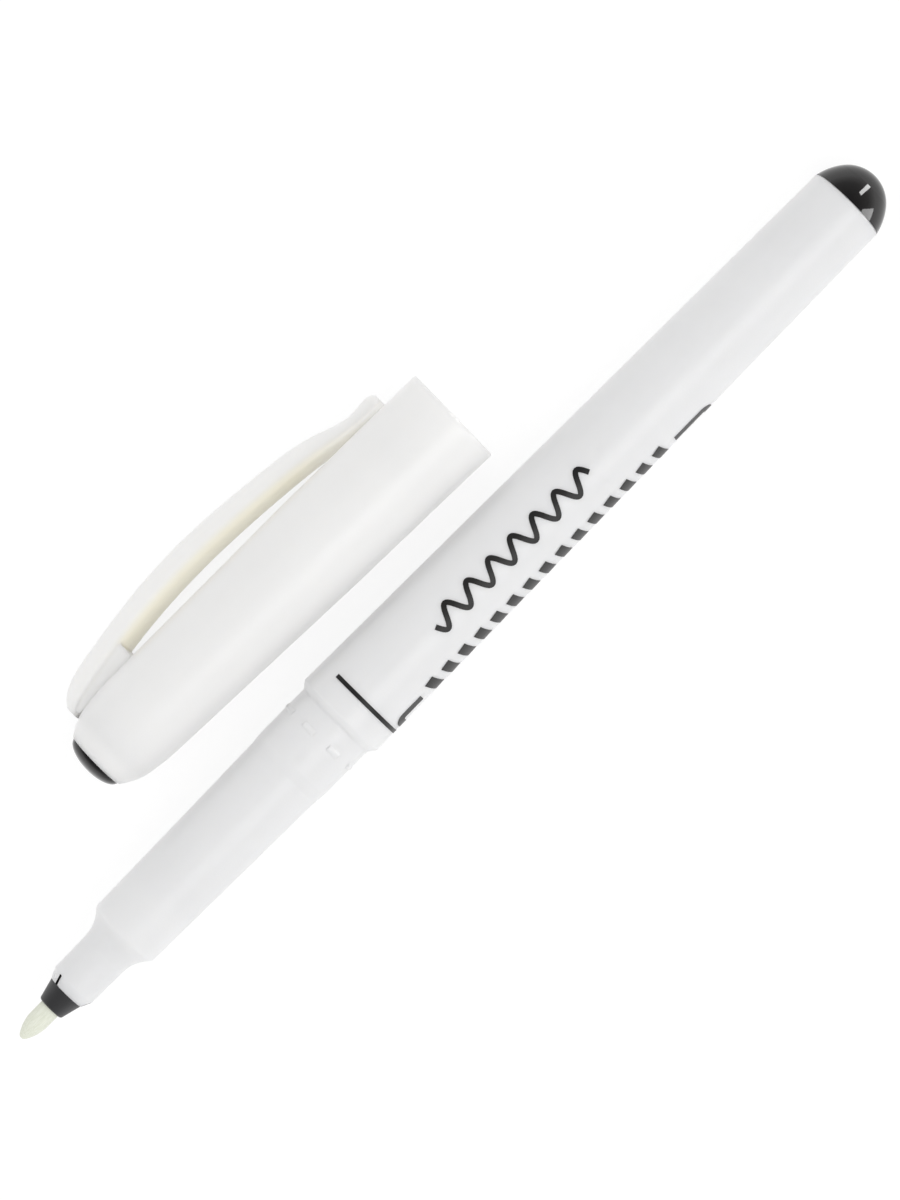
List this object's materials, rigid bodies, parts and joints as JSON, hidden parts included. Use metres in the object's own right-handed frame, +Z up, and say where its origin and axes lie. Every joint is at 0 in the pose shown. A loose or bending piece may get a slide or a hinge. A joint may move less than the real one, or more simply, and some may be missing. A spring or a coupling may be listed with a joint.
{
  "type": "fibre tip marker pen",
  "caption": "Slim fibre-tipped marker with a tapered round barrel, a stepped nose and a domed rear plug, lying uncapped beside its arched-clip cap.",
  "frame": {"origin": "on the pen's axis at the shoulder, where the front collar starts", "axes": "+X towards the nib, +Z up with the pen lying on a table, cap on the -Y side"},
  "size_m": [0.1335, 0.0315, 0.0125],
  "materials": {
    "white_barrel": "satin moulded white plastic",
    "white_cap": "satin moulded white plastic",
    "black_plastic": "polished black",
    "black_satin": "satin black",
    "nib_fibre": "pressed fibre, pale cream",
    "fibre": "bundled fibre",
    "film": "thin film",
    "soft_liner": "soft natural plastic"
  },
  "bodies": {
    "pen": {"barrel": "white_barrel", "rear_plug": "black_plastic", "reservoir_core": "fibre", "reservoir_sleeve": "film", "nib": "nib_fibre", "nib_holder": "black_satin"},
    "cap": {"cap_shell": "white_cap", "cap_end_plug": "black_plastic", "cap_liner": "soft_liner"}
  },
  "joints": [
    {"name": "cap_slide", "type": "slide", "parent": "pen", "child": "cap", "axis": [1, 0, 0], "range_m": [0, 0.085]}
  ]
}
